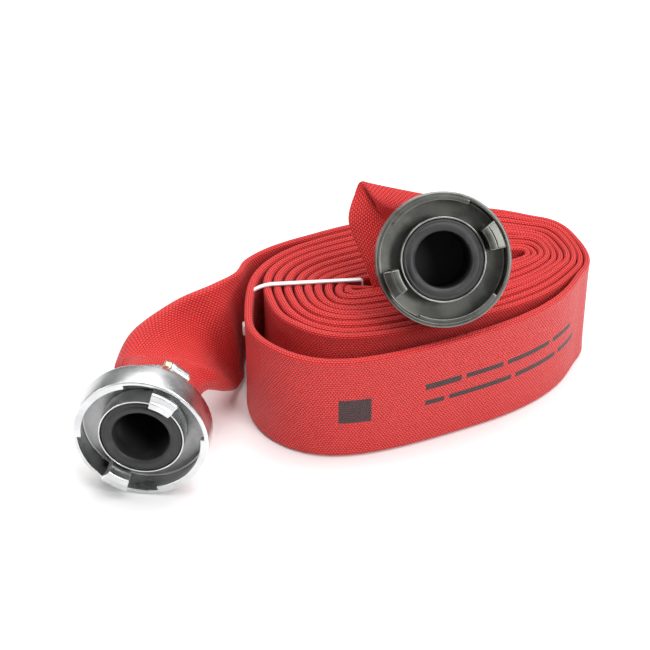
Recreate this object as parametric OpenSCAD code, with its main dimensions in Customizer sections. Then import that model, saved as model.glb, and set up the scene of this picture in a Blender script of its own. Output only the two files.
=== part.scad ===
/* [Hose] */
// Flat width of the hose, which is the height of the roll
hose_w = 87; // [84:0.5:90]
// Half-length of the slot in the middle of the roll
slot_half = 68; // [60:1:80]
// Turns in the roll, counted to the place where the outer end leaves it
roll_turns = 10; // [8:1:10]
// How far the loose outermost turn bows away from the others
loose_gap = 28; // [10:1:28]
// Angle between the roll's long side and +X
roll_turn_z = 27; // [20:1:30]
// Outer radius of the hose where it is pushed over a shank
sleeve_r = 27.8; // [27.4:0.1:28]

/* [Couplings] */
// Outer diameter of a lug ring
ring_d = 98; // [96:0.5:98]
// Lug spacing, between the inner faces of the two lugs
lug_spacing = 66; // [65:0.5:67]
// Bore through a tail piece
bore_d = 42; // [38:0.5:42]
// Length of a coupling from its front lip to the end of its shank
coupling_l = 64; // [62:1:64]
// Angle that each lug takes up
lug_a = 27; // [20:1:30]
// Angle that each lip takes up
lip_a = 80; // [60:1:84]
// Place of the first lug of the outer end, anticlockwise from the right
outer_lug_a = 62; // [0:1:180]
// Place of the first lug of the inner end
inner_lug_a = 24; // [0:1:180]

/* [Clamps and tie] */
// Width of a clamp band
band_w = 9; // [8:0.5:12]
// Place of a clamp's housing round the shank, anticlockwise from the right
clamp_a = 52; // [30:1:70]
// Width of the cable tie
tie_w = 3.6; // [2.5:0.1:4.8]
// Thickness of the cable tie
tie_t = 1.2; // [1:0.1:1.5]

/* [Hidden] */
$fn = 96;

hose_red = "#d8403e";
lining_black = "#202022";
bright = "#c8ccd0";
dark = "#3c3d3a";
steel = "#a8acb0";
zinc = "#b0a070";

// ---- couplings: +Z is outward, z = 0 is the front lip ----
ring_r = ring_d / 2;
rim_t = 3;                    // wall of the rim
lip_r = 43;                   // inner radius of the lips
lip_t = 5;                    // thickness of the lips
floor_z = -18;                // front of the ring's floor
floor_t = 4;
hub_z = -30;                  // back of the ring's hub
hub_r = 34;
run_gap = 0.05;               // radial running clearance, ring on neck
gap = 0.3;                    // clearance between other moving faces
neck_r = 28.25;
head_r = 31;                  // bright edge round the seal
head_z = -2;                  // front of that edge
groove_r = 29.7;              // seal groove in the head
groove_z = -12;
lug_post_t = 5;
lug_post_r = lug_spacing / 2;
lug_tip_r = 45;
lug_top = 8;                  // how far a lug stands ahead of the lip
hook_t = 5;
snap_t = 1.65;
snap_r = 27.2;
shoulder_z = -33.5;           // where the hose stops against the neck
shank_r = 25.2;
barb_r = 26;
bore_r = bore_d / 2;
lining_r = 26.8;              // between the lining and the jacket
band_t = 0.8;
band_r = sleeve_r + band_t;
band_z = -48;                 // middle of the band
screw_r = 2.4;
screw_x = band_r + band_t + 0.5 + screw_r;
housing_l = 15;
housing_w = 11;
housing_r = 4.6;
screw_head_r = 4;
screw_head_l = 4;

// Places of the front lips: position, then tilt above the floor and turn about +Z
outer_at = [-198, -189, 49.8];
outer_tilt = 2;
outer_turn = 0;
inner_at = [8, -81, 145.8];
inner_tilt = 31;
inner_turn = 8.4;

module at_outer() { translate(outer_at) rotate([90 - outer_tilt, 0, outer_turn]) children(); }
module at_inner() { translate(inner_at) rotate([90 - inner_tilt, 0, inner_turn]) children(); }

module tube(ro, ri, z0, z1) {
    translate([0, 0, z0]) difference() {
        cylinder(r = ro, h = z1 - z0);
        translate([0, 0, -1]) cylinder(r = ri, h = z1 - z0 + 2);
    }
}

// A part of a ring, centred on angle a and taking up w degrees
module arc(ro, ri, z0, z1, a, w) {
    rotate([0, 0, a - w / 2]) translate([0, 0, z0])
        rotate_extrude(angle = w) translate([ri, 0]) square([ro - ri, z1 - z0]);
}

module lug_ring(first) {
    edge = 2;                 // rounding of the rim's front edge
    rotate_extrude() union() {
        translate([ring_r - rim_t, floor_z - floor_t]) square([rim_t, -floor_z + floor_t - edge]);
        translate([ring_r - rim_t, -edge]) square([rim_t - edge, edge]);
        intersection() {
            translate([ring_r - edge, -edge]) circle(r = edge);
            translate([ring_r - edge, -edge]) square(edge);
        }
        translate([neck_r + run_gap, floor_z - floor_t]) square([ring_r - neck_r - run_gap - 1, floor_t]);
        translate([neck_r + run_gap, hub_z]) square([hub_r - neck_r - run_gap, floor_z - hub_z]);
        polygon([[hub_r - 1, floor_z - floor_t], [ring_r, floor_z - floor_t], [ring_r - 3, floor_z - floor_t - 2],
                 [hub_r - 1, floor_z - floor_t - 5]]);
    }
    for (side = [0, 180]) {
        arc(ring_r - rim_t + 0.5, lip_r, -lip_t, 0, first + side + 81, lip_a);
        rotate([0, 0, first + side - lug_a / 2]) rotate_extrude(angle = lug_a)
            polygon([[lug_post_r, floor_z - 1], [lug_post_r + lug_post_t, floor_z - 1],
                     [lug_post_r + lug_post_t, lug_top - hook_t - 1], [lug_tip_r, lug_top - hook_t],
                     [lug_tip_r, lug_top - 1], [lug_tip_r - 1, lug_top], [lug_post_r + 1, lug_top],
                     [lug_post_r, lug_top - 1]]);
    }
}

module tail_piece() {
    barbs = 6;
    barb_l = 4.4;
    barb_z = -coupling_l + 1;
    rotate_extrude() union() {
        translate([bore_r, -coupling_l]) square([shank_r - bore_r, coupling_l + groove_z]);
        for (i = [0 : barbs - 1])
            polygon([[shank_r - 0.1, barb_z + i * barb_l], [shank_r, barb_z + i * barb_l],
                     [barb_r, barb_z + (i + 0.8) * barb_l], [shank_r - 0.1, barb_z + (i + 0.8) * barb_l]]);
        translate([bore_r, shoulder_z]) square([snap_r - bore_r, -shoulder_z + groove_z]);
        translate([snap_r - 1, shoulder_z]) square([neck_r - snap_r + 1, hub_z - gap - snap_t - shoulder_z]);
        translate([snap_r - 1, hub_z - gap]) square([neck_r - snap_r + 1, floor_z - hub_z + 2 * gap]);
        translate([bore_r, floor_z + gap]) square([head_r - bore_r, groove_z - floor_z - gap]);
        translate([groove_r, groove_z - 1]) square([head_r - groove_r, head_z - groove_z + 1]);
    }
}

module snap_ring() {
    opening = 20;
    rotate([0, 0, opening / 2]) rotate_extrude(angle = 360 - opening)
        translate([snap_r, hub_z - gap - snap_t]) square([2.4, snap_t]);
}

module seal() {
    rotate_extrude()
        polygon([[bore_r + 0.6, groove_z], [groove_r, groove_z], [groove_r, head_z - 0.5],
                 [groove_r - 1.5, head_z + 0.4], [bore_r + 3.5, head_z + 1.4], [bore_r + 1.2, head_z + 0.6],
                 [bore_r + 0.6, head_z - 0.6]]);
}

module clamp_band() {
    overlap_a = 100;
    tube(band_r, sleeve_r, band_z - band_w / 2, band_z + band_w / 2);
    arc(band_r + band_t, band_r, band_z - band_w / 2, band_z + band_w / 2, clamp_a - 20, overlap_a);
}

// Along the screw: the head is at the anticlockwise end
module at_screw() { rotate([0, 0, clamp_a]) translate([screw_x, 0, band_z]) rotate([-90, 0, 0]) children(); }

module clamp_housing() {
    difference() {
        at_screw() translate([0, 0, -housing_l / 2]) union() {
            cylinder(r = housing_r, h = housing_l);
            translate([-screw_r - 1.5, -housing_w / 2, 0]) cube([screw_r + 1.5, housing_w, housing_l]);
        }
        translate([0, 0, band_z - housing_w]) cylinder(r = band_r + band_t, h = 2 * housing_w);
        at_screw() translate([0, 0, -housing_l]) cylinder(r = screw_r + run_gap, h = 2 * housing_l);
    }
}

module clamp_screw() {
    end_l = 1.5;
    slot_w = 1.2;
    at_screw() difference() {
        union() {
            translate([0, 0, -housing_l / 2 - gap - end_l]) cylinder(r = screw_r, h = housing_l + 2 * gap + end_l);
            translate([0, 0, -housing_l / 2 - gap - end_l]) cylinder(r = screw_r + 0.6, h = end_l);
            translate([0, 0, housing_l / 2 + gap]) cylinder(r = screw_head_r, h = 1);
            translate([0, 0, housing_l / 2 + gap]) cylinder(r = screw_head_r, h = screw_head_l, $fn = 6);
        }
        translate([-slot_w / 2, -screw_head_r, housing_l / 2 + screw_head_l - 1])
            cube([slot_w, 2 * screw_head_r, 3]);
    }
}

// The hose's jacket and the lining in it, round a shank
module hose_end() { tube(sleeve_r, lining_r, -coupling_l, shoulder_z - gap); }
module lining() { tube(lining_r, barb_r, -coupling_l, shoulder_z - gap); }

// ---- the roll: a flat spiral round a slot, wound anticlockwise from above ----
// Room that a turn takes, every 45 degrees anticlockwise from the right-hand end
pitch = [4.9, 5.6, 7.9, 8.2, 7.3, 7.4, 6.9, 5.3];
core_r = 3;
end_shape = 2.2;              // how full the roll's two ends are
hose_t = 4.4;                 // the flat hose's two layers
loose_at = 360 * roll_turns - 134;
loose_w = 95;
roll_y = -4;
exit_a = 110;                 // where the outer run leaves the last turn

function tanh(x) = (exp(x) - exp(-x)) / (exp(x) + exp(-x));
function soft(f) = (1 - cos(180 * f)) / 2;
function turn_pitch(a) =
    let (k = (a % 360) / 45, i = floor(k), f = soft(k - i))
    pitch[i] * (1 - f) + pitch[(i + 1) % 8] * f;
function bump(x) = abs(x) > 1 ? 0 : (1 + cos(180 * x)) / 2;
// A point on the hose's middle line, a degrees along the winding, and out mm outside it
function wind(a, out) =
    let (r = core_r + a / 360 * turn_pitch(a) + loose_gap * bump((a - loose_at) / loose_w) + out)
    [slot_half * tanh(end_shape * cos(a)) / tanh(end_shape) + r * cos(a), roll_y + r * sin(a)];

module hose_roll() {
    step = 5;
    last = 360 * roll_turns + exit_a;
    difference() {
        rotate([0, 0, roll_turn_z]) linear_extrude(hose_w)
            polygon([for (a = [last - 360 : step : last]) wind(a, hose_t / 2)]);
        tie_loop(0);
    }
}

// ---- the two free stretches of hose, from flat to round ----
// Each ring: middle, half of the width, half of the thickness, as vectors
side_n = 12;
function ring_pts(r) = [for (i = [0 : side_n - 1]) let (a = 360 * i / side_n)
    r[0] + r[1] * cos(a) + r[2] * sin(a)];
function mix(p, i, f) =
    let (a = p[max(i - 1, 0)], b = p[i], c = p[i + 1], d = p[min(i + 2, len(p) - 1)])
    0.5 * (2 * b + (c - a) * f + (2 * a - 5 * b + 4 * c - d) * f * f + (3 * b - a - 3 * c + d) * f * f * f);
function smooth(p, n) = [for (i = [0 : len(p) - 2]) for (j = [0 : n - 1]) mix(p, i, j / n), p[len(p) - 1]];

module sweep(frames) {
    rings = [for (r = frames) ring_pts(r)];
    count = len(rings);
    polyhedron(
        points = [for (r = rings) for (p = r) p],
        faces = concat(
            [[for (i = [0 : side_n - 1]) i]],
            [for (k = [0 : count - 2]) for (i = [0 : side_n - 1])
                let (a = k * side_n + i, b = k * side_n + (i + 1) % side_n)
                each [[a, a + side_n, b + side_n], [a, b + side_n, b]]],
            [[for (i = [side_n - 1 : -1 : 0]) (count - 1) * side_n + i]]));
}

// The end of a shank, as a round ring
function turned(v, a) = [v[0] * cos(a) - v[1] * sin(a), v[0] * sin(a) + v[1] * cos(a), v[2]];
function outward(tilt, turn) = turned([0, -cos(tilt), sin(tilt)], turn);
function upward(tilt, turn) = turned([0, sin(tilt), cos(tilt)], turn);
function shank_end(at, tilt, turn, up) =
    [at - coupling_l * outward(tilt, turn), sleeve_r * turned([-1, 0, 0], turn) * abs(up),
     sleeve_r * up * upward(tilt, turn)];

outer_frames = [
    [[-104, 32, 43.5], [0, 0, 43], [1, -2, 0]],
    [[-120, 23, 43.5], [0, 0, 43], [1.2, -1.8, 0]],
    [[-135, 10, 43.5], [0, 0, 43], [1.6, -1.4, 0]],
    [[-147, -6, 43.5], [0, 0, 43], [2, -0.8, 0]],
    [[-151, -24, 43.5], [-1, 0, 43], [2, -0.4, 0]],
    [[-158, -42, 43.5], [-9, 1, 42], [2.8, -1.6, 0.6]],
    [[-171, -62, 43], [-19, 3, 38], [4, -3, 2]],
    [[-182, -84, 44], [-29, 0, 28], [6, -2, 6]],
    [[-191, -103, 46], [-33, -5, 12], [5, 0, 15]],
    [[-196, -115, 47.5], [-30, -2, 2], [1, 0, 24]],
    shank_end(outer_at, outer_tilt, outer_turn, 1)];

inner_frames = [
    [[-10, -14, 87.3], [-37, -19, 0], [1, -2, 0]],
    [[-16, -8, 106], [-39, -19, 1], [1, -2, 0]],
    [[-25, 1, 128], [-42, -15, 3], [1, -2, 0.3]],
    [[-23, 9, 141], [-41, -8, 6], [0.3, -2, -0.7]],
    [[-20, 5, 147], [-40, 0, 7], [0, -1, -2.5]],
    [[-14, -3, 142], [-37, 1, 5], [0, 1.4, -2.6]],
    [[-11, -6, 134], [-34, 1, 3], [0, 2.6, -7]],
    [[-7.5, -7.5, 124], [-31, 1, 1], [0, 1.2, -12]],
    [[-4, -15.5, 115.6], [-29, -2, 0], [1, -6, -20]],
    shank_end(inner_at, inner_tilt, inner_turn, -1)];

// ---- the cable tie round the roll's left-hand bend ----
tie_from = [-60, 2];          // in the slot
tie_to = [-146, 26];          // outside the loose turn
tie_head = [5, 7, 9];
module tie_loop(grow) {
    span = norm(tie_to - tie_from);
    angle = atan2(tie_to[1] - tie_from[1], tie_to[0] - tie_from[0]);
    tall = hose_w + tie_t;
    rotate([0, 0, roll_turn_z]) translate([tie_from[0], tie_from[1], 0]) rotate([0, 0, angle])
        rotate([90, 0, 0]) translate([0, 0, -tie_w / 2 - grow]) linear_extrude(tie_w + 2 * grow)
            difference() {
                square([span, tall]);
                translate([tie_t, tie_t]) square([span - 2 * tie_t, tall - 2 * tie_t]);
            }
}

module hose_color() { color(hose_red) children(); }

module cable_tie() {
    span = norm(tie_to - tie_from);
    angle = atan2(tie_to[1] - tie_from[1], tie_to[0] - tie_from[0]);
    color("white") {
        tie_loop(0);
        rotate([0, 0, roll_turn_z]) translate([tie_from[0], tie_from[1], 0]) rotate([0, 0, angle])
            translate([span - tie_t, -tie_head[1] / 2, hose_w / 2]) cube(tie_head);
    }
}

module outer_run() { hose_color() sweep(smooth(outer_frames, 3)); }
module inner_run() { hose_color() sweep(smooth(inner_frames, 3)); }
module outer_hose_end() { hose_color() at_outer() hose_end(); }
module inner_hose_end() { hose_color() at_inner() hose_end(); }
module outer_lining() { color(lining_black) at_outer() lining(); }
module inner_lining() { color(lining_black) at_inner() lining(); }
module outer_tail_piece() { color(bright) at_outer() tail_piece(); }
module inner_tail_piece() { color(dark) at_inner() tail_piece(); }
module outer_lug_ring() { color(bright) at_outer() lug_ring(outer_lug_a); }
module inner_lug_ring() { color(dark) at_inner() lug_ring(inner_lug_a); }
module outer_snap_ring() { color(steel) at_outer() snap_ring(); }
module inner_snap_ring() { color(steel) at_inner() snap_ring(); }
module outer_seal() { color(lining_black) at_outer() seal(); }
module inner_seal() { color(lining_black) at_inner() seal(); }
module outer_clamp_band() { color(steel) at_outer() clamp_band(); }
module inner_clamp_band() { color(steel) at_inner() clamp_band(); }
module outer_clamp_housing() { color(steel) at_outer() clamp_housing(); }
module inner_clamp_housing() { color(steel) at_inner() clamp_housing(); }
module outer_clamp_screw() { color(zinc) at_outer() clamp_screw(); }
module inner_clamp_screw() { color(zinc) at_inner() clamp_screw(); }

hose_color() hose_roll();
outer_run();
inner_run();
outer_hose_end();
inner_hose_end();
outer_lining();
inner_lining();
outer_tail_piece();
inner_tail_piece();
outer_lug_ring();
inner_lug_ring();
outer_snap_ring();
inner_snap_ring();
outer_seal();
inner_seal();
outer_clamp_band();
inner_clamp_band();
outer_clamp_housing();
inner_clamp_housing();
outer_clamp_screw();
inner_clamp_screw();
cable_tie();
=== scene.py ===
import math

import bmesh
import bpy
from mathutils import Matrix, Vector


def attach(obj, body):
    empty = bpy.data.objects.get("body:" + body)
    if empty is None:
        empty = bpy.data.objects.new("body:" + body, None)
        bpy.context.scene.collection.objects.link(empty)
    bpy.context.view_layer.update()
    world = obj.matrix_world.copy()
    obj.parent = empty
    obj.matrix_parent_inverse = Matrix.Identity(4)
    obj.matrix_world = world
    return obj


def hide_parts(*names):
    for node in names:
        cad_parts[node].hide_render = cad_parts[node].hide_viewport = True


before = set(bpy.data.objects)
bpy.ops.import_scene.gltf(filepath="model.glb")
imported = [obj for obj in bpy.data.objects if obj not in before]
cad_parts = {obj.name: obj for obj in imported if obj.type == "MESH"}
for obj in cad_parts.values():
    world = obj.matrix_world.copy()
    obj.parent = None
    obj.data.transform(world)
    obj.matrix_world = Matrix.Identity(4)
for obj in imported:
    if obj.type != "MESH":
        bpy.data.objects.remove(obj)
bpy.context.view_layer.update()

MM = 0.001

# ---------------------------------------------------------------- camera
CAMERA_AT = Vector((42.7, -1209.1, 876.7)) * MM
LOOK_AT = Vector((-79.1, -68.8, 73.7)) * MM
LENS_MM = 103.6


def make_camera():
    data = bpy.data.cameras.new("camera")
    data.lens = LENS_MM
    data.sensor_width = 36
    data.clip_end = 20
    camera = bpy.data.objects.new("camera", data)
    bpy.context.scene.collection.objects.link(camera)
    camera.location = CAMERA_AT
    camera.rotation_euler = (LOOK_AT - CAMERA_AT).to_track_quat("-Z", "Y").to_euler()
    bpy.context.scene.camera = camera


make_camera()


# ---------------------------------------------------------------- shader helper
class Shader:
    """A material, and short ways to add nodes to it. Sockets and numbers can both be given."""

    def __init__(self, name):
        self.mat = bpy.data.materials.new(name)
        self.mat.use_nodes = True
        self.tree = self.mat.node_tree
        self.bsdf = self.tree.nodes["Principled BSDF"]

    def feed(self, socket, value):
        if isinstance(value, bpy.types.NodeSocket):
            self.tree.links.new(value, socket)
        else:
            socket.default_value = value

    def add(self, kind, settings=None, **inputs):
        node = self.tree.nodes.new(kind)
        for key, value in (settings or {}).items():
            setattr(node, key, value)
        for key, value in inputs.items():
            self.feed(node.inputs[key.replace("_", " ")], value)
        return node

    def math(self, operation, *values, clamp=False):
        node = self.add("ShaderNodeMath", {"operation": operation, "use_clamp": clamp})
        for socket, value in zip(node.inputs, values):
            self.feed(socket, value)
        return node.outputs[0]

    def mix(self, factor, a, b):
        node = self.add("ShaderNodeMix", {"data_type": "RGBA"})
        self.feed(node.inputs["Factor"], factor)
        self.feed(node.inputs[6], a if isinstance(a, bpy.types.NodeSocket) else (*a, 1))
        self.feed(node.inputs[7], b if isinstance(b, bpy.types.NodeSocket) else (*b, 1))
        return node.outputs[2]

    def ramp(self, value, low, high, to_low=0.0, to_high=1.0):
        node = self.add("ShaderNodeMapRange", {"clamp": True, "interpolation_type": "SMOOTHSTEP"})
        for socket, given in zip(node.inputs, (value, low, high, to_low, to_high)):
            self.feed(socket, given)
        return node.outputs[0]

    def noise(self, scale, detail, vector=None):
        node = self.add("ShaderNodeTexNoise", Scale=scale, Detail=detail, Roughness=0.55)
        if vector is None:
            vector = self.add("ShaderNodeTexCoord").outputs["Object"]
        self.feed(node.inputs["Vector"], vector)
        return node.outputs["Fac"]

    def uv(self):
        node = self.add("ShaderNodeUVMap", {"uv_map": "UVMap"})
        split = self.add("ShaderNodeSeparateXYZ", Vector=node.outputs[0])
        return split.outputs[0], split.outputs[1]

    def join(self, x, y):
        return self.add("ShaderNodeCombineXYZ", X=x, Y=y).outputs[0]

    def wear_glint(self):
        return self.add("ShaderNodeAttribute", {"attribute_name": "wear_glint"}).outputs["Fac"]

    def bump(self, height, distance, strength):
        return self.add("ShaderNodeBump", Height=height, Distance=distance, Strength=strength).outputs[0]

    def set(self, **values):
        for key, value in values.items():
            self.feed(self.bsdf.inputs[key.replace("_", " ")], value)
        return self.mat


# ---------------------------------------------------------------- floor and light
def make_floor():
    mesh = bpy.data.meshes.new("floor")
    half = 6
    corners = [(-half, -half, 0), (half, -half, 0), (half, half, 0), (-half, half, 0)]
    mesh.from_pydata(corners, [], [(0, 1, 2, 3)])
    s = Shader("pale_floor")
    mesh.materials.append(s.set(Base_Color=(0.93, 0.93, 0.93, 1), Roughness=0.7, Specular_IOR_Level=0.1))
    floor = bpy.data.objects.new("floor", mesh)
    bpy.context.scene.collection.objects.link(floor)


def area_light(name, at, target, size, power):
    data = bpy.data.lights.new(name, "AREA")
    data.shape = "RECTANGLE"
    data.size, data.size_y = size
    data.energy = power
    light = bpy.data.objects.new(name, data)
    bpy.context.scene.collection.objects.link(light)
    light.location = at
    light.rotation_euler = (Vector(target) - Vector(at)).to_track_quat("-Z", "Y").to_euler()


def make_light():
    world = bpy.data.worlds.new("studio")
    world.use_nodes = True
    world.node_tree.nodes["Background"].inputs["Color"].default_value = (1, 1, 1, 1)
    world.node_tree.nodes["Background"].inputs["Strength"].default_value = 0.30
    bpy.context.scene.world = world
    area_light("overhead", (0.15, 0.35, 1.7), (0, 0, 0), (2.6, 2.0), 52)
    area_light("front_right", (1.2, -1.3, 1.2), (0, -0.05, 0.05), (0.7, 0.7), 20)
    area_light("left", (-1.6, -0.9, 0.8), (-0.1, -0.1, 0.05), (0.5, 0.5), 6)
    bpy.context.scene.view_settings.view_transform = "Standard"


make_floor()
make_light()


# ---------------------------------------------------------------- mesh helpers
def skin(rings, us, vs, loop=False):
    """Quads over a row of rings of points. Gives (points, faces, the faces' UVs)."""
    count, n = len(rings), len(rings[0])
    points = [p for ring in rings for p in ring]
    faces, uvs = [], []
    for k in range(count if loop else count - 1):
        k2 = (k + 1) % count
        for j in range(n):
            j2 = (j + 1) % n
            faces.append((k * n + j, k2 * n + j, k2 * n + j2, k * n + j2))
            uvs.append(((us[k], vs[j]), (us[k + 1], vs[j]), (us[k + 1], vs[j + 1]), (us[k], vs[j + 1])))
    if not loop:
        for k in (0, count - 1):
            faces.append(tuple(k * n + j for j in range(n)))
            uvs.append(tuple((us[k], vs[j]) for j in range(n)))
    return points, faces, uvs


def make_piece(name, parts, materials, body, matrix=None, wear_glints=None, sharp=35, indices=None):
    """One object from skins in millimetres. matrix places it in the frame."""
    points, faces, uvs = [], [], []
    for part_points, part_faces, part_uvs in parts:
        start = len(points)
        points += [tuple(p) for p in part_points]
        faces += [tuple(i + start for i in face) for face in part_faces]
        uvs += part_uvs
    mesh = bpy.data.meshes.new(name)
    mesh.from_pydata(points, [], faces)
    layer = mesh.uv_layers.new(name="UVMap")
    layer.data.foreach_set("uv", [value for face in uvs for pair in face for value in pair])
    if wear_glints is not None:
        mesh.attributes.new("wear_glint", "FLOAT", "POINT").data.foreach_set("value", wear_glints)
    for material in materials:
        mesh.materials.append(material)
    if indices is not None:
        mesh.polygons.foreach_set("material_index", indices)
    mesh.transform(Matrix.Diagonal((MM, MM, MM, 1)))
    if matrix is not None:
        mesh.transform(matrix)
    bm = bmesh.new()
    bm.from_mesh(mesh)
    bmesh.ops.recalc_face_normals(bm, faces=bm.faces)
    bm.to_mesh(mesh)
    bm.free()
    mesh.polygons.foreach_set("use_smooth", [True] * len(mesh.polygons))
    mesh.set_sharp_from_angle(angle=math.radians(sharp))
    obj = bpy.data.objects.new(name, mesh)
    bpy.context.scene.collection.objects.link(obj)
    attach(obj, body)
    return obj


def rounded(corners, radius=0.6, steps=3):
    """A closed outline with its corners rounded. Gives points, and each point's edge mask for wear and painted
    edge highlight, 1 on a corner.
    """
    out, wear_glint = [], []
    count = len(corners)
    for i, corner in enumerate(corners):
        here = Vector(corner[:2])
        r = corner[2] if len(corner) > 2 else radius
        before = Vector(corners[i - 1][:2]) - here
        after = Vector(corners[(i + 1) % count][:2]) - here
        cut = min(r, before.length * 0.45, after.length * 0.45)
        a, b = here + before.normalized() * cut, here + after.normalized() * cut
        for k in range(steps + 1):
            t = k / steps
            out.append(a * (1 - t) ** 2 + here * 2 * t * (1 - t) + b * t ** 2)
            wear_glint.append(1.0 if 0 < k < steps else 0.45)
    return out, wear_glint


def lengths(points):
    """How far round a closed outline each point is, and last the whole way round."""
    total, out = 0.0, [0.0]
    for i, point in enumerate(points):
        total += (points[(i + 1) % len(points)] - point).length
        out.append(total)
    return out


def lathe(corners, radius=0.6, segments=180):
    """A ring turned round Z from a closed outline of (r, z) corners."""
    outline, wear_glint = rounded(corners, radius)
    rings = []
    for k in range(segments):
        a = 2 * math.pi * k / segments
        rings.append([Vector((p.x * math.cos(a), p.x * math.sin(a), p.y)) for p in outline])
    reach = max(p.x for p in outline)
    us = [2 * math.pi * reach * k / segments for k in range(segments + 1)]
    return skin(rings, us, lengths(outline), loop=True), wear_glint * segments


def lathe_arc(corners, middle, width, radius, segments, end_round):
    """A stretch of such a ring, width degrees long, with rounded ends."""
    outline, wear_glint = rounded(corners, radius)
    centre = sum(outline, Vector((0, 0))) / len(outline)
    reach = centre.x
    half = math.radians(width) / 2
    steps = 4
    ends = []
    for k in range(steps + 1):
        t = math.pi / 2 * k / steps
        ends.append((-half + end_round / reach * (1 - math.cos(t)), end_round * (1 - math.sin(t))))
    inner = end_round / reach
    body = [(-half + inner + (2 * half - 2 * inner) * k / segments, 0.0) for k in range(1, segments)]
    stations = ends + body + [(-a, inset) for a, inset in reversed(ends)]
    rings, wear_glints, us = [], [], []
    for a, inset in stations:
        ring = []
        for p in outline:
            away = p - centre
            shrink = max(0.0, 1 - inset / max(away.length, 1e-6))
            q = centre + away * shrink
            angle = a + math.radians(middle)
            ring.append(Vector((q.x * math.cos(angle), q.x * math.sin(angle), q.y)))
        rings.append(ring)
        wear_glints += [1.0 if inset > 0 else w for w in wear_glint]
        us.append(a * reach)
    us.append(us[-1])
    return skin(rings, us, lengths(outline)), wear_glints


# ---------------------------------------------------------------- materials
def hose_material(front_u):
    """Red filament weave: a staggered lattice of raised dots, coloured darker between the dots as painted shade
    and brighter on their tops as painted light, with plain black printed bars.
    """
    s = Shader("hose_weave")
    u, v = s.uv()
    dot_l, row_w = 2.3, 1.65
    rows = s.math("DIVIDE", v, row_w)
    stagger = s.math("MULTIPLY", s.math("MODULO", s.math("FLOOR", rows), 2.0), 0.5)
    cx = s.math("SUBTRACT", s.math("FRACT", s.math("ADD", s.math("DIVIDE", u, dot_l), stagger)), 0.5)
    cy = s.math("SUBTRACT", s.math("FRACT", rows), 0.5)
    away = s.math("ADD", s.math("MULTIPLY", cx, cx), s.math("MULTIPLY", cy, cy))
    dome = s.math("SUBTRACT", 1.0, s.math("MULTIPLY", away, 3.4), clamp=True)
    strands = s.noise(1.0, 3.0, s.join(s.math("MULTIPLY", u, 0.9), s.math("MULTIPLY", v, 4.0)))
    broad = s.noise(9.0, 3.0)
    # Painted shade and light: dark red where the weave dips between the dots, bright red on the dot tops.
    low = s.mix(broad, (0.16, 0.0010, 0.0015), (0.23, 0.0018, 0.0024))
    high = s.mix(broad, (0.90, 0.020, 0.018), (0.97, 0.032, 0.028))
    red = s.mix(s.ramp(dome, 0.05, 0.75), low, high)
    red = s.mix(s.math("MULTIPLY", s.ramp(strands, 0.55, 0.75), 0.20), red, (1.0, 0.16, 0.14))
    ink = printed_bars(s, u, v, front_u)
    worn = s.math("MULTIPLY", ink, s.ramp(dome, 0.0, 0.35, 0.80, 0.97))
    colour = s.mix(worn, red, (0.018, 0.014, 0.016))
    height = s.math("ADD", dome, s.math("MULTIPLY", strands, 0.25))
    return s.set(Base_Color=colour, Roughness=0.5, Normal=s.bump(height, 0.0006, 1.0),
                 Sheen_Weight=0.12, Sheen_Roughness=0.4)


def printed_bars(s, u, v, front_u):
    """A band of plain bars where a hose carries its printing. They say nothing."""
    across = s.math("SUBTRACT", v, PRINT_V)
    along = s.math("SUBTRACT", u, front_u)
    total = None
    for start, length, middle, height in PRINT_BARS:
        mask = s.math("MULTIPLY",
                      s.ramp(s.math("ABSOLUTE", s.math("SUBTRACT", along, start + length / 2)),
                             length / 2 + 0.3, length / 2 - 0.3),
                      s.ramp(s.math("ABSOLUTE", s.math("SUBTRACT", across, middle)),
                             height / 2 + 0.3, height / 2 - 0.3))
        total = mask if total is None else s.math("MAXIMUM", total, mask)
    return total


def lining_material():
    s = Shader("hose_lining")
    grain = s.noise(900.0, 2.0)
    return s.set(Base_Color=s.mix(grain, (0.008, 0.008, 0.009), (0.02, 0.02, 0.022)), Roughness=0.6,
                 Normal=s.bump(grain, 0.0002, 0.3))


def rubber_material():
    s = Shader("seal_rubber")
    dust = s.noise(60.0, 6.0)
    grain = s.noise(1500.0, 2.0)
    colour = s.mix(s.ramp(dust, 0.5, 0.8), (0.022, 0.022, 0.023), (0.060, 0.058, 0.055))
    return s.set(Base_Color=colour, Roughness=s.ramp(dust, 0.3, 0.7, 0.42, 0.6),
                 Normal=s.bump(grain, 0.0002, 0.35))


def metal_material(name, dull, bright, edge, rough, spots=0.0):
    """Turned metal: fine lines round the axis, patches, and edges made bright, partly rubbed wear and partly
    painted edge highlights.
    """
    s = Shader(name)
    u, v = s.uv()
    turned = s.noise(1.0, 4.0, s.join(s.math("MULTIPLY", u, 0.05), s.math("MULTIPLY", v, 5.0)))
    patches = s.noise(45.0, 6.0)
    fine = s.noise(700.0, 3.0)
    # Edges brighten towards the edge colour: partly rubbed wear, partly painted edge highlights.
    rub_and_glint = s.math("MULTIPLY", s.wear_glint(), s.ramp(patches, 0.3, 0.6, 0.55, 1.0))
    colour = s.mix(s.ramp(patches, 0.35, 0.7), dull, bright)
    if spots:
        colour = s.mix(s.math("MULTIPLY", s.ramp(fine, 0.66, 0.74), spots), colour, edge)
    colour = s.mix(rub_and_glint, colour, edge)
    roughness = s.math("ADD", s.ramp(patches, 0.3, 0.75, rough - 0.06, rough + 0.1),
                       s.math("MULTIPLY", turned, 0.08))
    height = s.math("ADD", s.math("MULTIPLY", turned, 0.25), s.math("MULTIPLY", fine, 0.35))
    return s.set(Base_Color=colour, Metallic=1.0, Roughness=roughness,
                 Normal=s.bump(height, 0.00015, 0.5))


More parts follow.
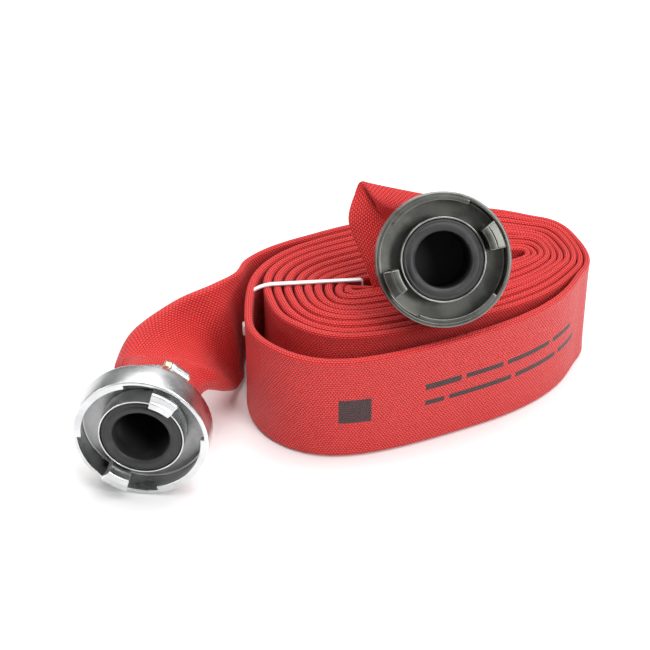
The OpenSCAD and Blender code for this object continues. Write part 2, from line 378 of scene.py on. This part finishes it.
def nylon_material():
    s = Shader("white_nylon")
    grain = s.noise(400.0, 3.0)
    return s.set(Base_Color=s.mix(grain, (0.80, 0.80, 0.79), (0.88, 0.88, 0.87)), Roughness=0.42,
                 Subsurface_Weight=0.15, Subsurface_Radius=(0.002, 0.002, 0.002),
                 Normal=s.bump(grain, 0.0001, 0.3))


BRIGHT = metal_material("bright_aluminium", (0.46, 0.47, 0.48), (0.66, 0.67, 0.68), (0.86, 0.86, 0.86), 0.27)
# The bright coupling's recess: cast metal, darkened well below the bright aluminium as painted shade in the
# hollow.
CAST_SHADE = metal_material("cast_recess_painted_shade", (0.10, 0.10, 0.10), (0.24, 0.24, 0.24), (0.60, 0.60, 0.60), 0.30)
# The inner coupling's aluminium is coloured near black here and in the turned head below: a painted dark
# reflection, not the metal's own colour.
DARK_REFLECTION = metal_material("dark_aluminium", (0.022, 0.022, 0.019), (0.040, 0.040, 0.035), (0.26, 0.26, 0.24), 0.34,
                      spots=0.5)
HEAD = metal_material("turned_head_painted_dark_reflection", (0.028, 0.028, 0.026), (0.048, 0.048, 0.045), (0.66, 0.65, 0.62), 0.34)
STEEL = metal_material("band_steel", (0.52, 0.52, 0.52), (0.70, 0.70, 0.70), (0.85, 0.85, 0.85), 0.2)
ZINC = metal_material("zinc_plate", (0.52, 0.45, 0.26), (0.68, 0.61, 0.42), (0.80, 0.76, 0.62), 0.25)
RUBBER = rubber_material()
LINING = lining_material()
NYLON = nylon_material()


# ---------------------------------------------------------------- the couplings
# Sizes in mm, in each coupling's own axes: z is 0 at the front of its lips and grows outwards
COUPLING_L = 64.0
SLEEVE_R = 27.8
BORE_R = 21.0
NECK_R = 28.25
RING_R = 49.0
FLOOR_Z = -18.0
HUB_Z = -30.0
HEAD_R = 31.0
BAND_Z = -48.0
BAND_W = 9.0
BAND_R = 28.6
SCREW_X = 32.3
SCREW_R = 2.4
CLAMP_A = 52.0


class End:
    """One end of the hose: where its coupling is, and which metal colour it gets; the inner end's near-black
    metal is a painted dark reflection.
    """

    def __init__(self, name, at, tilt, turn, first_lug, metal, slot):
        self.name, self.first_lug, self.metal, self.slot = name, first_lug, metal, slot
        self.recess = CAST_SHADE if metal is BRIGHT else metal
        self.matrix = (Matrix.Translation(Vector(at) * MM) @ Matrix.Rotation(math.radians(turn), 4, "Z")
                       @ Matrix.Rotation(math.radians(90 - tilt), 4, "X"))
        spin = self.matrix.to_3x3()
        self.at = Vector(at)
        self.right, self.up, self.out = spin.col[0].copy(), spin.col[1].copy(), spin.col[2].copy()


OUTER = End("outer", (-198, -189, 49.8), 2, 0, 62, BRIGHT, "bright_aluminium")
INNER = End("inner", (8, -81, 145.8), 31, 8.4, 24, DARK_REFLECTION, "dark_aluminium")


def in_recess(corners):
    """True on the claw ring's floor and inner wall, which are left as cast and get the darker recess metal,
    partly the cast finish and partly painted shade in the hollow.
    """
    return all(math.hypot(p.x, p.y) < 46.3 and FLOOR_Z - 0.3 < p.z < -5.5 for p in corners)


def claw_ring(end):
    """The turning ring: a dished body, two lips inside its rim and two hooked lugs."""
    ring, wear_glint = lathe([
        (NECK_R + 0.08, FLOOR_Z, 0.4), (46, FLOOR_Z, 1.5), (46, 0, 0.5), (RING_R, 0, 2.2), (RING_R, -21.5, 1.2),
        (46.5, -24, 1), (36, -26.5, 2), (34, -27.5, 0.6), (34, HUB_Z, 0.8), (NECK_R + 0.08, HUB_Z, 0.5)])
    parts, wear_glints = [ring], list(wear_glint)
    lip_corners = [(43, -5), (46.4, -5, 0.1), (46.4, -0.12, 0.1), (43, -0.12)]
    lug_corners = [(33, -19), (38, -19), (38, 1.5, 1.2), (45, 3, 0.8), (45, 6, 1.0), (39.6, 6.4, 0.4),
                   (38.8, 8, 0.6), (33.4, 8, 1.2)]
    for side in (0, 180):
        lip, lip_wear_glint = lathe_arc(lip_corners, end.first_lug + side + 81, 80, 0.7, 60, 0.7)
        lug, lug_wear_glint = lathe_arc(lug_corners, end.first_lug + side, 27, 0.9, 24, 0.9)
        parts += [lip, lug]
        wear_glints += lip_wear_glint + lug_wear_glint
    recess = [1 if in_recess([part[0][i] for i in face]) else 0 for part in parts for face in part[1]]
    piece = make_piece(end.name + "_claw_ring", parts, [end.metal, end.recess], end.name + "_ring",
                       end.matrix, wear_glints, indices=recess)
    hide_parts(end.name + "_lug_ring")


def shank(end):
    """The tail piece: the head that holds the seal, the neck the ring turns on, and the barbed shank."""
    corners = [(BORE_R, -COUPLING_L, 0.8), (BORE_R, -12, 0.3), (29.7, -12, 0.3), (29.9, -2, 0.3),
               (HEAD_R, -2, 0.4), (HEAD_R, -17.7, 0.5), (NECK_R, -17.7, 0.1), (NECK_R, -30.3, 0.3),
               (27.2, -30.35, 0.1), (27.2, -32.0, 0.1), (NECK_R, -32.05, 0.3), (NECK_R, -33.5, 0.3),
               (25.2, -33.6, 0.3)]
    barb_l = 4.4
    for i in reversed(range(6)):
        z = -COUPLING_L + 1 + i * barb_l
        corners += [(26.0, z + 0.8 * barb_l, 0.2), (25.2, z, 0.2)]
    part, wear_glint = lathe(corners, 0.4)
    # The inner end's head takes the near-black metal, a painted dark reflection.
    metal = BRIGHT if end is OUTER else HEAD
    # The bore's faces get the black rubber: painted shade down the inside of the bore.
    dark = [1 if max(math.hypot(part[0][i].x, part[0][i].y) for i in face) < 22 else 0 for face in part[1]]
    piece = make_piece(end.name + "_shank", [part], [metal, RUBBER], "hose", end.matrix, wear_glint,
                       indices=dark)
    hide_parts(end.name + "_tail_piece")


def seal(end):
    part, wear_glint = lathe([
        (20.6, -13.5, 0.3), (21.4, -12, 0.3), (29.6, -12, 0.3), (29.6, -3.2, 0.8), (28.0, -1.8, 0.8),
        (27, -2.2, 0.5), (25.6, -0.9, 0.9), (22.6, -0.9, 0.9), (20.6, -2.6, 0.8)], 0.5)
    piece = make_piece(end.name + "_seal_ring", [part], [RUBBER], "hose", end.matrix, wear_glint)
    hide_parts(end.name + "_seal")


def clamp(end):
    """The worm-drive clamp: its band with the overlapping end, the housing and the screw."""
    low, high = BAND_Z - BAND_W / 2, BAND_Z + BAND_W / 2
    ring, wear_glint = lathe([(27.85, low), (BAND_R, low), (BAND_R, high), (27.85, high)], 0.25)
    over, over_wear_glint = lathe_arc([(BAND_R + 0.02, low), (29.4, low), (29.4, high), (BAND_R + 0.02, high)],
                                CLAMP_A - 20, 100, 0.25, 60, 0.3)
    band = make_piece(end.name + "_band", [ring, over], [STEEL], "hose", end.matrix,
                      wear_glint + over_wear_glint)
    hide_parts(end.name + "_clamp_band")

    place = (end.matrix @ Matrix.Rotation(math.radians(CLAMP_A), 4, "Z")
             @ Matrix.Translation(Vector((SCREW_X, 0, BAND_Z)) * MM)
             @ Matrix.Rotation(math.radians(-90), 4, "X"))
    housing = make_piece(end.name + "_worm_housing", [housing_part(15.0)], [STEEL], "hose",
                         place)
    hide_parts(end.name + "_clamp_housing")
    parts, wear_glints = screw_parts()
    screw = make_piece(end.name + "_worm_screw", parts, [ZINC], end.name + "_screw", place, wear_glints)
    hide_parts(end.name + "_clamp_screw")


def housing_part(length):
    """A pressed shell over the screw: an arch outside, a round way for the screw inside."""
    outer, inner = [], []
    steps = 18
    for k in range(steps + 1):
        a = math.radians(-100 + 200 * k / steps)
        outer.append(Vector((4.6 * math.cos(a), 4.6 * math.sin(a))))
        inner.append(Vector((3.5 * math.cos(a), 3.5 * math.sin(a))))
    outer = [Vector((-2.4, -6.0)), Vector((-2.0, -6.0))] + outer + [Vector((-2.0, 6.0)), Vector((-2.4, 6.0))]
    inner = [Vector((-2.4, -5.1)), Vector((-2.3, -4.9))] + inner + [Vector((-2.3, 4.9)), Vector((-2.4, 5.1))]
    outline = outer + inner[::-1]
    stations = [(-0.5, 0.9), (-0.47, 1.0), (-0.25, 1.0), (0.0, 1.0), (0.25, 1.0), (0.47, 1.0), (0.5, 0.96)]
    rings = [[Vector((p.x * f if p.x > 0 else p.x, p.y * f, length * z)) for p in outline] for z, f in stations]
    us = [length * z for z, f in stations]
    return skin(rings, us + [us[-1]], lengths(outline))


def screw_parts():
    """Along +Z: an end collar, a worm with a real helical ridge, a washer face and a slotted hexagon head."""
    parts, wear_glints = [], []
    core, core_wear_glint = lathe([(0.05, -8.9, 0.01), (SCREW_R + 0.5, -8.9, 0.3), (SCREW_R + 0.5, -7.8, 0.3),
                             (SCREW_R - 0.5, -7.7, 0.1), (SCREW_R - 0.5, 7.8, 0.1), (4.1, 7.8, 0.2),
                             (4.1, 8.8, 0.3), (0.05, 8.8, 0.01)], 0.2, 48)
    parts.append(core)
    wear_glints += core_wear_glint
    pitch, turns, per_turn = 1.6, 9, 24
    rings, us = [], []
    for k in range(turns * per_turn + 1):
        a = 2 * math.pi * k / per_turn
        z = -7.2 + pitch * k / per_turn
        rings.append([Vector((r * math.cos(a), r * math.sin(a), z + dz))
                      for r, dz in ((1.7, -0.55), (SCREW_R, -0.2), (SCREW_R, 0.2), (1.7, 0.55))])
        us.append(k * 0.5)
    worm = skin(rings, us + [us[-1]], [0, 1, 1.4, 2.4, 3.4])
    parts.append(worm)
    wear_glints += [0.5] * len(worm[0])
    for block in hex_head(8.8, 12.3, 4.0):
        parts.append(block)
        wear_glints += [0.7] * len(block[0])
    return parts, wear_glints


def hex_head(z0, z1, r):
    """A hexagon with its top corners turned off, cut by a screwdriver slot."""
    half_slot, deep = 0.6, 1.5
    angles = [math.radians(60 * k) for k in range(6)]
    corners = [Vector((r * math.cos(a), r * math.sin(a))) for a in angles]
    whole = [corners[k].lerp(corners[(k + 1) % 6], t) for k in range(6) for t in (0, 0.25, 0.5, 0.75)]
    blocks = [[(whole, z0, 1.0), (whole, z1 - deep, 1.0)]]
    for side in (1, -1):
        part = [p for p in whole if p.y * side > half_slot]
        part.sort(key=lambda p: math.atan2(p.y * side, p.x))
        first, last = part[0], part[-1]
        part = [Vector((first.x, half_slot * side))] + part + [Vector((last.x, half_slot * side))]
        blocks.append([(part, z1 - deep - 0.02, 1.0), (part, z1 - 0.5, 1.0), (part, z1, 0.87)])
    parts = []
    for block in blocks:
        rings = []
        for outline, z, f in block:
            ring = []
            for p in outline:
                q = p * min(1.0, f * r / p.length) if f < 1 else p
                q = Vector((q.x, p.y)) if abs(abs(p.y) - half_slot) < 0.01 else q
                ring.append(Vector((q.x, q.y, z)))
            rings.append(ring)
        us = [z for outline, z, f in block]
        parts.append(skin(rings, us + [us[-1]], [0.9 * k for k in range(len(rings[0]) + 1)]))
    return parts


for end in (OUTER, INNER):
    claw_ring(end)
    shank(end)
    seal(end)
    clamp(end)


# ---------------------------------------------------------------- the hose
# Sizes in mm and angles in degrees, in the frame's axes unless a comment says otherwise
HOSE_W = 87.0
SLOT_HALF = 68.0
TURNS = 10
LOOSE_GAP = 28.0
ROLL_TURN = math.radians(27)
PITCH = [4.9, 5.6, 7.9, 8.2, 7.3, 7.4, 6.9, 5.3]    # from turn to turn, every 45 degrees round the roll
CORE_R = 3.0
END_SHAPE = 2.2
LOOSE_AT = 360 * TURNS - 134
LOOSE_W = 95
ROLL_Y = -4
EXIT_A = 360 * TURNS + 110
START_A = 150
GIRTH = 175.0                                       # once round the jacket


def turn_pitch(a):
    k = (a % 360) / 45
    i = int(k)
    f = (1 - math.cos(math.pi * (k - i))) / 2
    return PITCH[i] * (1 - f) + PITCH[(i + 1) % 8] * f


def bump(x):
    return 0.0 if abs(x) > 1 else (1 + math.cos(math.pi * x)) / 2


def wind(a):
    """The hose's middle line, a degrees along the winding, in the frame's axes, in millimetres."""
    r = CORE_R + a / 360 * turn_pitch(a) + LOOSE_GAP * bump((a - LOOSE_AT) / LOOSE_W)
    t = math.radians(a)
    x = SLOT_HALF * math.tanh(END_SHAPE * math.cos(t)) / math.tanh(END_SHAPE) + r * math.cos(t)
    y = ROLL_Y + r * math.sin(t)
    c, s = math.cos(ROLL_TURN), math.sin(ROLL_TURN)
    return Vector((x * c - y * s, x * s + y * c, 0))


def sway(a, seed):
    """Smooth, unrepeating and the same every time, from -1 to 1."""
    return (math.sin(a * 0.0131 + seed) + math.sin(a * 0.0307 + 2.3 * seed)
            + 0.6 * math.sin(a * 0.071 + 4.1 * seed)) / 2.6


def roll_frames():
    """From the outer end of the roll inwards: middle, half of the width, half of the thickness."""
    frames = []
    count = int((EXIT_A - START_A) / 2.5)
    for k in range(count + 1):
        a = EXIT_A - (EXIT_A - START_A) * k / count
        along = (wind(a + 0.5) - wind(a - 0.5)).normalized()
        inward = Vector((-along.y, along.x, 0))
        here = wind(a) + inward * 0.35 * sway(a, 1.7)
        squeezed = 4.5 * bump((a - (EXIT_A - 288)) / 34) + 2.5 * bump((a - (EXIT_A - 648)) / 30)
        half = HOSE_W / 2 - 0.3 + 0.65 * sway(a, 0.6) - squeezed / 2
        thick = min(3.6, 0.475 * turn_pitch(a))
        low = 0.25 + 0.2 * (1 + sway(a, 3.1))
        frames.append((here + Vector((0, 0, low + half)), Vector((0, 0, half)), inward * thick))
    return frames


# The free stretches of hose: each row is a middle, half of the width and half of the thickness
OUTER_RUN = [
    ((-120, 23, 43.5), (0, 0, 43), (1.5, -2.6, 0)),
    ((-135, 10, 43.5), (0, 0, 43), (2.0, -2.2, 0)),
    ((-147, -6, 43.5), (0, 0, 43), (2.6, -1.3, 0)),
    ((-151, -24, 43.5), (-1, 0, 43), (2.8, -0.5, 0)),
    ((-158, -42, 43.5), (-10, 1, 42), (2.8, -1.6, 0.5)),
    ((-172, -62, 43), (-23, 3, 37), (4, -3, 2)),
    ((-186, -84, 44), (-36, 0, 25), (6, -2, 7)),
    ((-194, -103, 46), (-37, -5, 10), (4, 0, 12)),
    ((-197, -115, 47.5), (-32, -2, 2), (1, 0, 21))]

INNER_RUN = [
    ((-16, -8, 106), (-39, -19, 1), (1.2, -2.4, 0)),
    ((-25, 1, 128), (-42, -15, 3), (1.2, -2.4, 0.3)),
    ((-23, 9, 141), (-41, -8, 6), (0.4, -2.4, -0.8)),
    ((-20, 5, 147), (-40, 0, 7), (0, -1.2, -2.4)),
    ((-14, -3, 142), (-37, 1, 5), (0, 1.4, -2.6)),
    ((-11, -6, 134), (-34, 1, 3), (0, 2.6, -7)),
    ((-7.5, -7.5, 124), (-31, 1, 1), (0, 1.2, -12)),
    ((-4, -15.5, 115.6), (-29, -2, 0), (1, -6, -20))]
FOLD_AT = Vector((-47, -33, 87))     # where the inner run's near edge leaves the slot
SLOT_DIR = Vector((math.cos(ROLL_TURN), math.sin(ROLL_TURN), 0))


def catmull(frames, n):
    """A smooth row of frames through the given ones, n to each."""
    out = []
    last = len(frames) - 1
    for i in range(last):
        quad = [frames[max(i - 1, 0)], frames[i], frames[i + 1], frames[min(i + 2, last)]]
        for j in range(n):
            f = j / n
            out.append(tuple(
                0.5 * (2 * b + (c - a) * f + (2 * a - 5 * b + 4 * c - d) * f * f
                       + (3 * b - a - 3 * c + d) * f * f * f)
                for a, b, c, d in zip(*quad)))
    out.append(frames[last])
    return out


def as_frames(rows):
    return [tuple(Vector(v) for v in row) for row in rows]


def shank_frame(end, z, side, r=SLEEVE_R):
    """A round frame on a coupling's axis. side says which face of the flat hose is on top."""
    return (end.at + end.out * z, -end.right * r, end.up * side * r)


# How far each lengthwise thread of the jacket is from the nearer folded edge, round one quarter
QUARTER = [0, 0.9, 1.8, 2.7, 3.7, 4.8, 6.2, 8.2, 11, 14, 17, 20, 23, 26.5, 30, 33.5, 37, 40.5]


def thread_places():
    half = QUARTER + [GIRTH / 4] + [GIRTH / 2 - q for q in reversed(QUARTER[1:])]
    return half + [GIRTH / 2 + q for q in half]


THREADS = thread_places()


def section(frame_row):
    """The jacket's outline in one frame: flat with full edges when thin, round when open."""
    middle, wide, thick = frame_row
    a, b = wide.length, thick.length
    x_axis, y_axis = wide / a, thick / b
    flatness = max(0.0, min(1.0, (0.5 - b / a) / 0.4))
    girth = 4 * (a - b) + 2 * math.pi * b if a > b else 2 * math.pi * b
    straight = max(a - b, 0.0)
    out = []
    for place in THREADS:
        s = place / GIRTH * girth
        sign = 1
        if s > girth / 2:
            s, sign = girth - s, -1
        quarter = math.pi * b / 2
        if s < quarter:
            t = s / b
            x, y = straight + b * math.cos(t), b * math.sin(t)
        elif s < quarter + 2 * straight:
            x, y = straight - (s - quarter), b
        else:
            t = (s - quarter - 2 * straight) / b
            x, y = -straight - b * math.sin(t), b * math.cos(t)
        y *= 1 - 0.26 * flatness * (1 - min(1.0, abs(x) / a) ** 8)
        out.append(middle + x_axis * x + y_axis * sign * y)
    return out


def fold_frames(steps=8):
    """The flat hose turns up out of the slot about its near top corner."""
    out = []
    for k in range(1, steps + 1):
        t = math.pi / 2 * k / steps
        away = SLOT_DIR * math.sin(t) - Vector((0, 0, 1)) * math.cos(t)
        across = Vector((SLOT_DIR.y, -SLOT_DIR.x, 0))
        out.append((FOLD_AT + away * 43, -away * 43, across * 2.4))
    return out


def sleeve_radius(z):
    """Snug under the band, and proud of it on both sides."""
    free = abs(z - BAND_Z) - BAND_W / 2
    return SLEEVE_R + 0.55 * max(0.0, min(1.0, free / 2.5)) - 0.02


def hose_rings():
    """All the jacket's rings from the outer coupling to the inner one, and how many are its inner wall."""
    ends = []
    for end, side in ((OUTER, 1), (INNER, -1)):
        inside = [shank_frame(end, z, side, 26.9) for z in (-64.4, -60, -50, -40, -34.2)]
        outside = [shank_frame(end, z, side, sleeve_radius(z))
                   for z in [-33.9] + [-34.5 - 1.0 * k for k in range(30)]]
        ends.append((inside, outside))
    outer_inside, outer_outside = ends[0]
    inner_inside, inner_outside = ends[1]
    roll = roll_frames()
    outer_keys = [roll[3], roll[0]] + as_frames(OUTER_RUN) + [shank_frame(OUTER, -COUPLING_L, 1)]
    outer_run = catmull(outer_keys, 8)[8:][::-1][1:-1]
    fold = fold_frames()
    inner_keys = [fold[-1]] + as_frames(INNER_RUN) + [shank_frame(INNER, -COUPLING_L, -1)]
    inner_run = catmull(inner_keys, 8)[1:-1]
    body = outer_run + roll + fold + inner_run
    frames = outer_inside + outer_outside + body + inner_outside[::-1] + inner_inside[::-1]
    return frames, len(outer_inside)


ENDS_L = 60.0            # the two walls of the hose over a shank


def creased(ring, frame_row, u, length):
    """Puckers where the hose gathers behind a clamp, and the outer run's two soft ridges."""
    middle, wide, thick = frame_row
    out = []
    from_outer, from_inner = u - ENDS_L, length - ENDS_L - u
    gather = max(pucker(from_outer), pucker(from_inner))
    ridge = 4.5 * bump((from_outer - 92) / 16) - 2.0 * bump((from_outer - 70) / 16)
    for point, place in zip(ring, THREADS):
        away = (point - middle).normalized()
        folds = math.cos(place * 0.43 + 0.6 * math.sin(place * 0.09)) + 0.5 * math.cos(place * 0.79 + 1.3)
        moved = point + away * gather * folds
        if ridge and place < GIRTH / 2:
            over = math.sin(math.pi * place / (GIRTH / 2)) ** 0.7
            moved += thick.normalized() * ridge * over
        out.append(moved)
    return out


def pucker(distance):
    """How deep the gathers are, this far behind the shank."""
    if distance <= 0:
        return 0.0
    return 0.9 * min(1.0, distance / 8) * max(0.0, 1 - distance / 60) ** 1.5


def hose():
    """The whole jacket as one closed, woven piece."""
    frames, inside = hose_rings()
    us = [0.0]
    for a, b in zip(frames, frames[1:]):
        us.append(us[-1] + (b[0] - a[0]).length)
    length = us[-1]
    rings = [creased(section(f), f, u, length) for f, u in zip(frames, us)]
    us.append(length)
    part = skin(rings, us, THREADS + [GIRTH])
    count = len(rings) - 1
    dark = set(range(inside)) | set(range(count - inside, count))
    indices = [1 if k in dark else 0 for k in range(count) for j in THREADS] + [1, 1]
    front_u = next(u for f, u in zip(frames, us) if (f[0] - FRONT_MARK).length < 4 and f[2].length < 4)
    piece = make_piece("hose_jacket", [part], [hose_material(front_u), LINING], "hose",
                       indices=indices, sharp=80)
    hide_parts("hose_roll", "outer_run", "inner_run", "outer_hose_end", "inner_hose_end")


FRONT_MARK = wind(360 * TURNS - 90) + Vector((0, 0, 43.5))
PRINT_V = GIRTH * 0.75      # the middle of the jacket's outer face
# Bars in place of the printing: start and length along the hose, then middle and height across it
PRINT_BARS = [(92, 24, -2, 20), (20, 30, 7, 5), (-16, 32, 7, 4), (-62, 42, 7, 4), (-92, 26, 7, 4),
              (34, 16, -7, 4), (-24, 54, -7, 4), (-70, 42, -7, 4), (-100, 26, -7, 4)]


# ---------------------------------------------------------------- the cable tie
TIE_FROM = (-60.0, 2.0)
TIE_TO = (-146.0, 26.0)
TIE_W = 3.6
TIE_T = 1.2


def tie_plane():
    """The tie's two bottom corners: in the slot, and outside the roll's left-hand bend."""
    c, s = math.cos(ROLL_TURN), math.sin(ROLL_TURN)
    a = Vector((TIE_FROM[0] * c - TIE_FROM[1] * s, TIE_FROM[0] * s + TIE_FROM[1] * c, 0))
    b = Vector((TIE_TO[0] * c - TIE_TO[1] * s, TIE_TO[0] * s + TIE_TO[1] * c, 0))
    return a, b


def cable_tie():
    """A flat strap pulled over the turns' top edges, and its head outside the roll."""
    a, b = tie_plane()
    along = (b - a).normalized()
    span = (b - a).length
    across = Vector((-along.y, along.x, 0))
    up = Vector((0, 0, 1))
    top = HOSE_W + 0.9
    corners = [(TIE_T / 2, 0.7, 2.0), (TIE_T / 2, top, 3.0), (span - 14, top, 30.0),
               (span - TIE_T / 2, top - 7, 8.0), (span - TIE_T / 2, 0.7, 2.0)]
    path, _ = rounded(corners, 2.0, 8)
    rings = []
    for i, p in enumerate(path):
        ahead = (path[(i + 1) % len(path)] - path[i - 1]).normalized()
        normal = Vector((-ahead.y, ahead.x))
        here = a + along * p.x + up * p.y
        n3 = along * normal.x + up * normal.y
        ring = []
        for x, y in ((-0.5, -0.42), (-0.42, -0.5), (0.42, -0.5), (0.5, -0.42), (0.5, 0.42), (0.42, 0.5),
                     (-0.42, 0.5), (-0.5, 0.42)):
            ring.append(here + across * x * TIE_W + n3 * y * TIE_T)
        rings.append(ring)
    strap = skin(rings, lengths(path), [0, 0.4, 3, 3.4, 4.4, 4.8, 7.4, 7.8, 8.8], loop=True)
    corner = a + along * (span - TIE_T) - across * 3.5 + up * HOSE_W / 2
    head = rounded_block(corner, along, across, up, (5, 7, 9))
    piece = make_piece("nylon_tie", [strap, head], [NYLON], "hose")
    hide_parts("cable_tie")


def rounded_block(corner, x_axis, y_axis, z_axis, size, r=0.8):
    """A block with rounded edges, from one corner along three axes."""
    w, d, h = size
    outline, _ = rounded([(0, 0), (w, 0), (w, d), (0, d)], r)
    middle = Vector((w / 2, d / 2))
    rings, us = [], []
    for z, inset in ((0, r), (r * 0.3, r * 0.3), (r, 0), (h - r, 0), (h - r * 0.3, r * 0.3), (h, r)):
        ring = []
        for p in outline:
            x = p.x + (inset if p.x < middle.x else -inset)
            y = p.y + (inset if p.y < middle.y else -inset)
            ring.append(corner + x_axis * x + y_axis * y + z_axis * z)
        rings.append(ring)
        us.append(z)
    return skin(rings, us + [h], lengths(outline))


hose()
cable_tie()

for node, material in (("outer_lining", LINING), ("inner_lining", LINING),
                       ("outer_snap_ring", STEEL), ("inner_snap_ring", STEEL)):
    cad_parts[node].data.materials.clear()
    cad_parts[node].data.materials.append(material)
